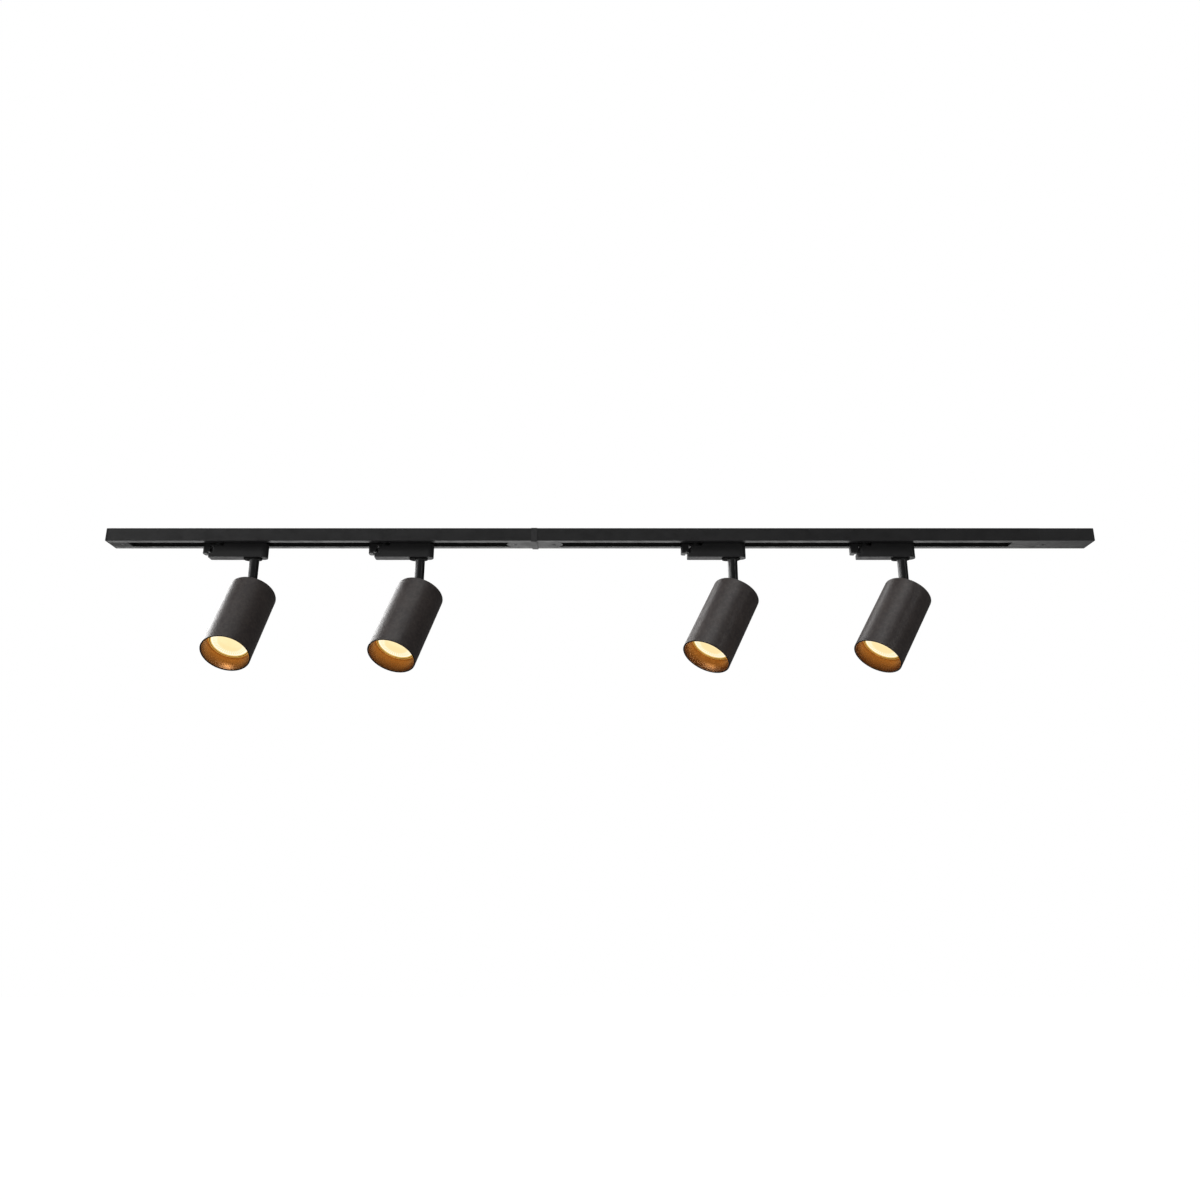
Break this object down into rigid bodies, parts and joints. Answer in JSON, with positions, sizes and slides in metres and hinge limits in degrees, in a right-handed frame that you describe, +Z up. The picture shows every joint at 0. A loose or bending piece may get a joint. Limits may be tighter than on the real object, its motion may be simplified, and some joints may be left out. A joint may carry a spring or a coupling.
{
  "type": "track lighting fixture",
  "caption": "Black ceiling track light: two rails joined end to end, a live end and an end cap, and cylindrical spot heads that slide, swivel and tilt, with bronze-gold mouths.",
  "frame": {"origin": "middle of the ceiling face of the rails, which is mount ceiling_face", "axes": "+X along the rails towards the live end, +Y to the rear, +Z up into the ceiling"},
  "size_m": [1.329, 0.1134, 0.1976],
  "materials": {
    "rail_black": "satin black powder coat on extruded aluminium",
    "strip_plastic": "matt extruded plastic",
    "copper": "drawn copper",
    "end_plastic": "fine textured moulding",
    "joiner_plastic": "fine textured moulding, a little greyer",
    "terminal_plastic": "moulded polyamide",
    "contact_brass": "stamped brass",
    "screw_steel": "black zinc",
    "adapter_plastic": "fine spark-eroded texture",
    "lever_plastic": "smooth moulding",
    "stem_black": "semi-gloss black coat on tube",
    "pivot_steel": "zinc plated",
    "cap_black": "black powder coat on die casting",
    "shade_coat": "satin warm black powder coat",
    "ceramic": "unglazed ceramic",
    "lamp_glass": "lit lamp with prismatic front",
    "baffle_gold": "satin bronze-gold"
  },
  "bodies": {
    "rail": {"left_rail": "rail_black", "right_rail": "rail_black", "insulators": "strip_plastic", "conductors": "copper", "end_cap": "end_plastic", "joiner": "joiner_plastic", "joiner_blades": "contact_brass", "feed_housing": "end_plastic", "feed_cover": "end_plastic", "feed_terminal": "terminal_plastic", "feed_blades": "contact_brass", "small_screws": "screw_steel"},
    "carriage_1": {"adapter_body_1": "adapter_plastic", "adapter_neck_1": "adapter_plastic", "contacts_1": "contact_brass", "stem_flange_1": "lever_plastic"},
    "lever_1": {"lock_lever_1": "lever_plastic"},
    "swivel_1": {"swivel_stem_1": "stem_black", "pivot_screw_1": "pivot_steel"},
    "head_1": {"rear_cap_1": "cap_black", "shade_1": "shade_coat", "lamp_holder_1": "ceramic", "lamp_1": "lamp_glass", "baffle_1": "baffle_gold"},
    "carriage_2": {"adapter_body_2": "adapter_plastic", "adapter_neck_2": "adapter_plastic", "contacts_2": "contact_brass", "stem_flange_2": "lever_plastic"},
    "lever_2": {"lock_lever_2": "lever_plastic"},
    "swivel_2": {"swivel_stem_2": "stem_black", "pivot_screw_2": "pivot_steel"},
    "head_2": {"rear_cap_2": "cap_black", "shade_2": "shade_coat", "lamp_holder_2": "ceramic", "lamp_2": "lamp_glass", "baffle_2": "baffle_gold"},
    "carriage_3": {"adapter_body_3": "adapter_plastic", "adapter_neck_3": "adapter_plastic", "contacts_3": "contact_brass", "stem_flange_3": "lever_plastic"},
    "lever_3": {"lock_lever_3": "lever_plastic"},
    "swivel_3": {"swivel_stem_3": "stem_black", "pivot_screw_3": "pivot_steel"},
    "head_3": {"rear_cap_3": "cap_black", "shade_3": "shade_coat", "lamp_holder_3": "ceramic", "lamp_3": "lamp_glass", "baffle_3": "baffle_gold"},
    "carriage_4": {"adapter_body_4": "adapter_plastic", "adapter_neck_4": "adapter_plastic", "contacts_4": "contact_brass", "stem_flange_4": "lever_plastic"},
    "lever_4": {"lock_lever_4": "lever_plastic"},
    "swivel_4": {"swivel_stem_4": "stem_black", "pivot_screw_4": "pivot_steel"},
    "head_4": {"rear_cap_4": "cap_black", "shade_4": "shade_coat", "lamp_holder_4": "ceramic", "lamp_4": "lamp_glass", "baffle_4": "baffle_gold"}
  },
  "joints": [
    {"name": "slide_1", "type": "slide", "parent": "rail", "child": "carriage_1", "axis": [1, 0, 0], "range_m": [-0.1, 0.06]},
    {"name": "lock_1", "type": "hinge", "parent": "carriage_1", "child": "lever_1", "pos_m": [-0.517, 0, -0.023], "axis": [0, 0, 1], "range_deg": [0, 90]},
    {"name": "pan_1", "type": "hinge", "parent": "carriage_1", "child": "swivel_1", "pos_m": [-0.467, 0, -0.0365], "axis": [0, 0, 1], "range_deg": [-175, 175]},
    {"name": "tilt_1", "type": "hinge", "parent": "swivel_1", "child": "head_1", "pos_m": [-0.467, 0, -0.0936], "axis": [-0.9945, 0.1045, 0], "range_deg": [-32, 28]},
    {"name": "slide_2", "type": "slide", "parent": "rail", "child": "carriage_2", "axis": [1, 0, 0], "range_m": [-0.06, 0.095]},
    {"name": "lock_2", "type": "hinge", "parent": "carriage_2", "child": "lever_2", "pos_m": [-0.293, 0, -0.023], "axis": [0, 0, 1], "range_deg": [0, 90]},
    {"name": "pan_2", "type": "hinge", "parent": "carriage_2", "child": "swivel_2", "pos_m": [-0.243, 0, -0.0365], "axis": [0, 0, 1], "range_deg": [-175, 175]},
    {"name": "tilt_2", "type": "hinge", "parent": "swivel_2", "child": "head_2", "pos_m": [-0.243, 0, -0.0936], "axis": [-0.9063, 0.4226, 0], "range_deg": [-30, 30]},
    {"name": "slide_3", "type": "slide", "parent": "rail", "child": "carriage_3", "axis": [1, 0, 0], "range_m": [-0.15, 0.05]},
    {"name": "lock_3", "type": "hinge", "parent": "carriage_3", "child": "lever_3", "pos_m": [0.129, 0, -0.023], "axis": [0, 0, 1], "range_deg": [0, 90]},
    {"name": "pan_3", "type": "hinge", "parent": "carriage_3", "child": "swivel_3", "pos_m": [0.179, 0, -0.0365], "axis": [0, 0, 1], "range_deg": [-175, 175]},
    {"name": "tilt_3", "type": "hinge", "parent": "swivel_3", "child": "head_3", "pos_m": [0.179, 0, -0.0936], "axis": [-0.6018, 0.7986, 0], "range_deg": [-32, 28]},
    {"name": "slide_4", "type": "slide", "parent": "rail", "child": "carriage_4", "axis": [1, 0, 0], "range_m": [-0.05, 0.128]},
    {"name": "lock_4", "type": "hinge", "parent": "carriage_4", "child": "lever_4", "pos_m": [0.358, 0, -0.023], "axis": [0, 0, 1], "range_deg": [0, 90]},
    {"name": "pan_4", "type": "hinge", "parent": "carriage_4", "child": "swivel_4", "pos_m": [0.408, 0, -0.0365], "axis": [0, 0, 1], "range_deg": [-175, 175]},
    {"name": "tilt_4", "type": "hinge", "parent": "swivel_4", "child": "head_4", "pos_m": [0.408, 0, -0.0936], "axis": [-0.454, 0.891, 0], "range_deg": [-34, 26]}
  ]
}
